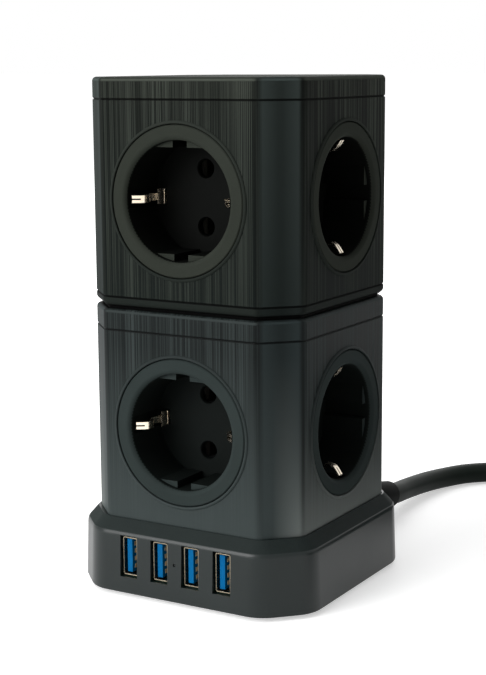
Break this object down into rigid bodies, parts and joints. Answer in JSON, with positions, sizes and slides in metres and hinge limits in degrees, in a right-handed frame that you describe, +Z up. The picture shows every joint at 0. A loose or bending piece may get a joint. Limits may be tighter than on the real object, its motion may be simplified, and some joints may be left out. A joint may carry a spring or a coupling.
{
  "type": "tower power strip",
  "caption": "Upright two-tier power strip with round earthed sockets on all sides, charging ports in a wide base, and a mains cord with plug",
  "frame": {"origin": "on the table, under the middle of the base", "axes": "+Z up; the charging ports face -Y; the mains cord leaves the back, towards +Y"},
  "size_m": [0.2133, 0.2091, 0.1716],
  "materials": {
    "housing": "fine-grained black plastic with a dull sheen",
    "socket_plastic": "smooth satin black plastic",
    "black_plastic": "plain black plastic",
    "feet": "soft black rubber",
    "cord_rubber": "black cord sheath, slightly glossy",
    "zinc_steel": "zinc-plated steel",
    "circuit_board": "green solder mask",
    "board_parts": "varnished coil and capacitors",
    "light_guide": "clear light guide",
    "gilt_contacts": "gold-flashed contact strips",
    "usb_shell": "plated steel shell",
    "usb_tongue": "coloured plastic tongue",
    "button_red": "red button",
    "wire_brown": "brown insulation",
    "wire_blue": "blue insulation",
    "wire_green": "green and yellow insulation",
    "contact_brass": "bright sheet brass",
    "clip_metal": "tin-bronze spring sheet, nickel flashed",
    "plug_nickel": "nickel-plated pins"
  },
  "bodies": {
    "strip": {"base_housing": "housing", "lower_body": "housing", "lower_band": "housing", "upper_ring": "housing", "upper_body": "housing", "top_cap": "housing", "base_plate": "black_plastic", "lower_carrier": "black_plastic", "upper_carrier": "black_plastic", "cord_clamp": "black_plastic", "overload_protector": "black_plastic", "rubber_feet": "feet", "short_screws": "zinc_steel", "tier_screws": "zinc_steel", "protector_nut": "zinc_steel", "usb_board": "circuit_board", "board_parts": "board_parts", "indicator_light": "light_guide", "usb_contacts": "gilt_contacts", "usb_shell_1": "usb_shell", "usb_tongue_1": "usb_tongue", "usb_shell_2": "usb_shell", "usb_tongue_2": "usb_tongue", "usb_shell_3": "usb_shell", "usb_tongue_3": "usb_tongue", "usb_shell_4": "usb_shell", "usb_tongue_4": "usb_tongue", "cord_inside": "cord_rubber", "strain_relief": "cord_rubber", "mains_cord": "cord_rubber", "cord_coil": "cord_rubber", "plug_cord": "cord_rubber", "plug_body": "cord_rubber", "coil_tie": "black_plastic", "live_wire": "wire_brown", "neutral_wire": "wire_blue", "earth_wire": "wire_green", "lower_live_contacts": "contact_brass", "lower_neutral_contacts": "contact_brass", "lower_front_socket": "socket_plastic", "lower_front_earth_clip": "clip_metal", "lower_right_socket": "socket_plastic", "lower_right_earth_clip": "clip_metal", "lower_rear_socket": "socket_plastic", "lower_rear_earth_clip": "clip_metal", "lower_left_socket": "socket_plastic", "lower_left_earth_clip": "clip_metal", "upper_live_contacts": "contact_brass", "upper_neutral_contacts": "contact_brass", "upper_front_socket": "socket_plastic", "upper_front_earth_clip": "clip_metal", "upper_right_socket": "socket_plastic", "upper_right_earth_clip": "clip_metal", "upper_rear_socket": "socket_plastic", "upper_rear_earth_clip": "clip_metal", "upper_left_socket": "socket_plastic", "upper_left_earth_clip": "clip_metal", "plug_pins": "plug_nickel", "plug_earth_contacts": "clip_metal"},
    "button": {"reset_button": "button_red"}
  },
  "joints": [
    {"name": "reset_press", "type": "slide", "parent": "strip", "child": "button", "axis": [0, -1, 0], "range_m": [0, 0.0025], "stiffness_N_per_m": 800}
  ]
}
